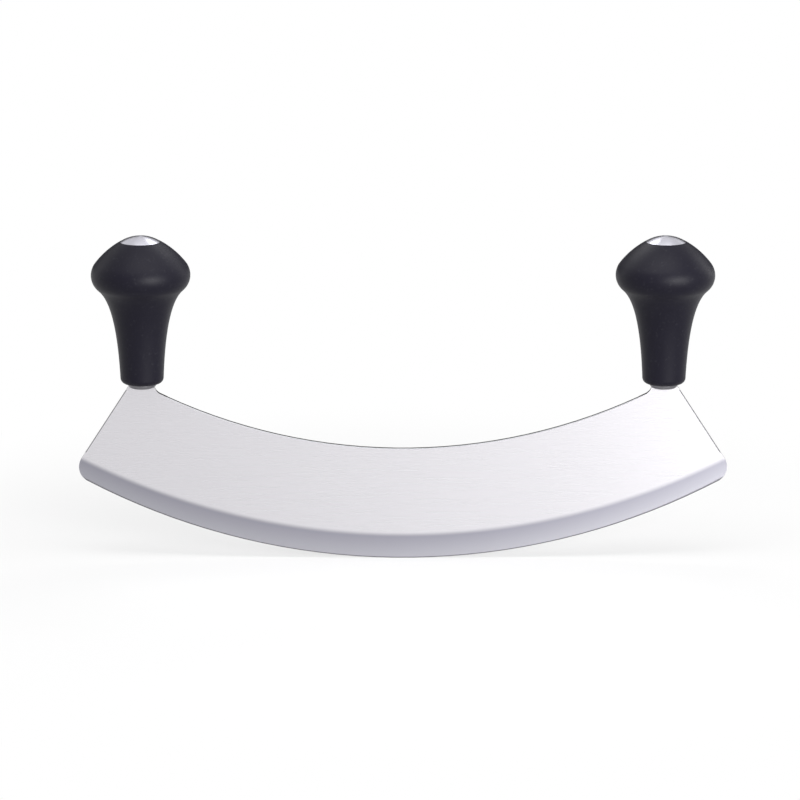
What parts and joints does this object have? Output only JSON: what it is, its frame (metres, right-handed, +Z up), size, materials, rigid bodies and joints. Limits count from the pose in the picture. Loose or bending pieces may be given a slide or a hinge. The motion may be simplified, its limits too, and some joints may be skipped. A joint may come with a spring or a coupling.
{
  "type": "mezzaluna",
  "caption": "Mincing knife with an arched steel blade on edge, held by upright black soft-touch knob handles at its ends, each with a domed metal cap and a steel collar.",
  "frame": {"origin": "lowest point of the cutting edge, at the middle of the blade's length and thickness", "axes": "+X along the blade towards the right handle as the picture shows it, +Y square to the blade away from the camera, +Z up through the handles"},
  "size_m": [0.26, 0.0394, 0.132],
  "materials": {
    "blade_steel": "fine lengthwise brushed stainless plate with a ground bevel",
    "collar_steel": "turned satin stainless",
    "cap_steel": "satin stainless, brushed in circles",
    "hardware_steel": "plain stainless",
    "core_plastic": "moulded, unpolished",
    "soft_grip": "soft-touch moulding, fine matt grain"
  },
  "bodies": {
    "root": {"blade": "blade_steel", "left_tang_stud": "hardware_steel", "left_collar": "collar_steel", "left_handle_core": "core_plastic", "left_grip": "soft_grip", "left_washer": "hardware_steel", "left_nut": "hardware_steel", "left_cap": "cap_steel", "right_tang_stud": "hardware_steel", "right_collar": "collar_steel", "right_handle_core": "core_plastic", "right_grip": "soft_grip", "right_washer": "hardware_steel", "right_nut": "hardware_steel", "right_cap": "cap_steel"}
  },
  "joints": []
}
